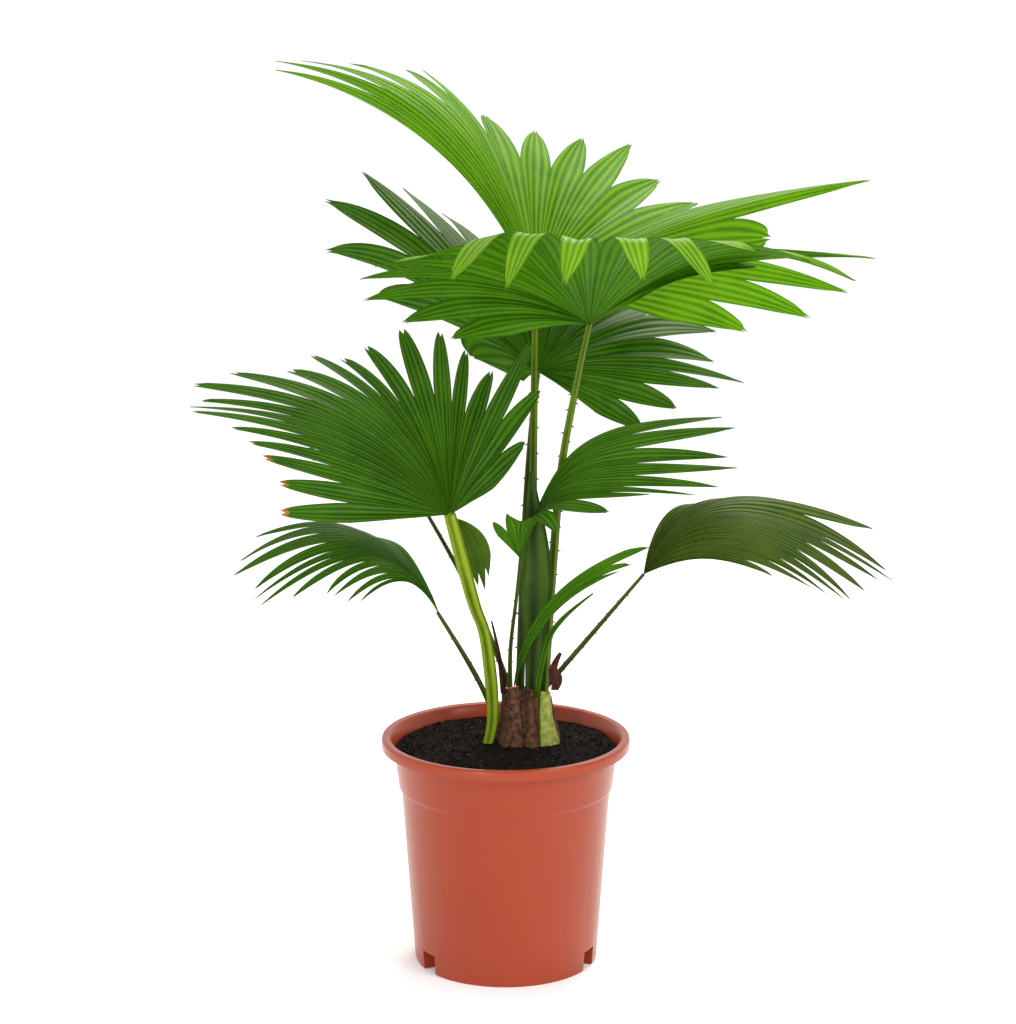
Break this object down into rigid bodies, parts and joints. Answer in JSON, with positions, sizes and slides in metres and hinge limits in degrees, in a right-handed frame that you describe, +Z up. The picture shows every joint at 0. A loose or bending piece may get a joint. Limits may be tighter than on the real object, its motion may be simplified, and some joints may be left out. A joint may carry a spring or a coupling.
{
  "type": "potted footstool palm",
  "caption": "Young fan palm with round pleated fronds on thin stalks, rising from a short stem in a round plastic nursery pot of soil.",
  "frame": {"origin": "centre of the pot's flat underside", "axes": "+Z up along the pot's axis, -Y towards the front view, +X to the right"},
  "size_m": [0.5769, 0.4944, 0.758],
  "materials": {
    "pot_plastic": "satin moulded polypropylene in terracotta colour",
    "soil": "dark crumbly potting compost",
    "husk": "dry fibrous old leaf bases",
    "stalk": "smooth green leaf stalk",
    "blade": "waxy green leaf",
    "dead_leaf": "dry brown leaf"
  },
  "bodies": {
    "root": {"dead_leaf": "dead_leaf", "dead_spike": "dead_leaf", "leaf_base_back": "husk", "leaf_base_far_left": "husk", "leaf_base_far_right": "husk", "leaf_base_front": "husk", "leaf_base_left": "husk", "leaf_base_right": "husk", "left_frond": "blade", "left_lobe": "blade", "left_stalk": "stalk", "low_left_frond": "blade", "low_left_stalk": "stalk", "low_right_frond": "blade", "low_right_stalk": "stalk", "middle_frond": "blade", "middle_stalk": "stalk", "narrow_frond": "blade", "narrow_strip": "blade", "pot": "pot_plastic", "rear_frond": "blade", "rear_stalk": "stalk", "right_frond": "blade", "right_stalk": "stalk", "soil": "soil", "spear_leaf": "blade", "stem": "husk", "top_back_frond": "blade", "top_back_stalk": "stalk", "top_front_frond": "blade", "top_front_stalk": "stalk"}
  },
  "joints": []
}
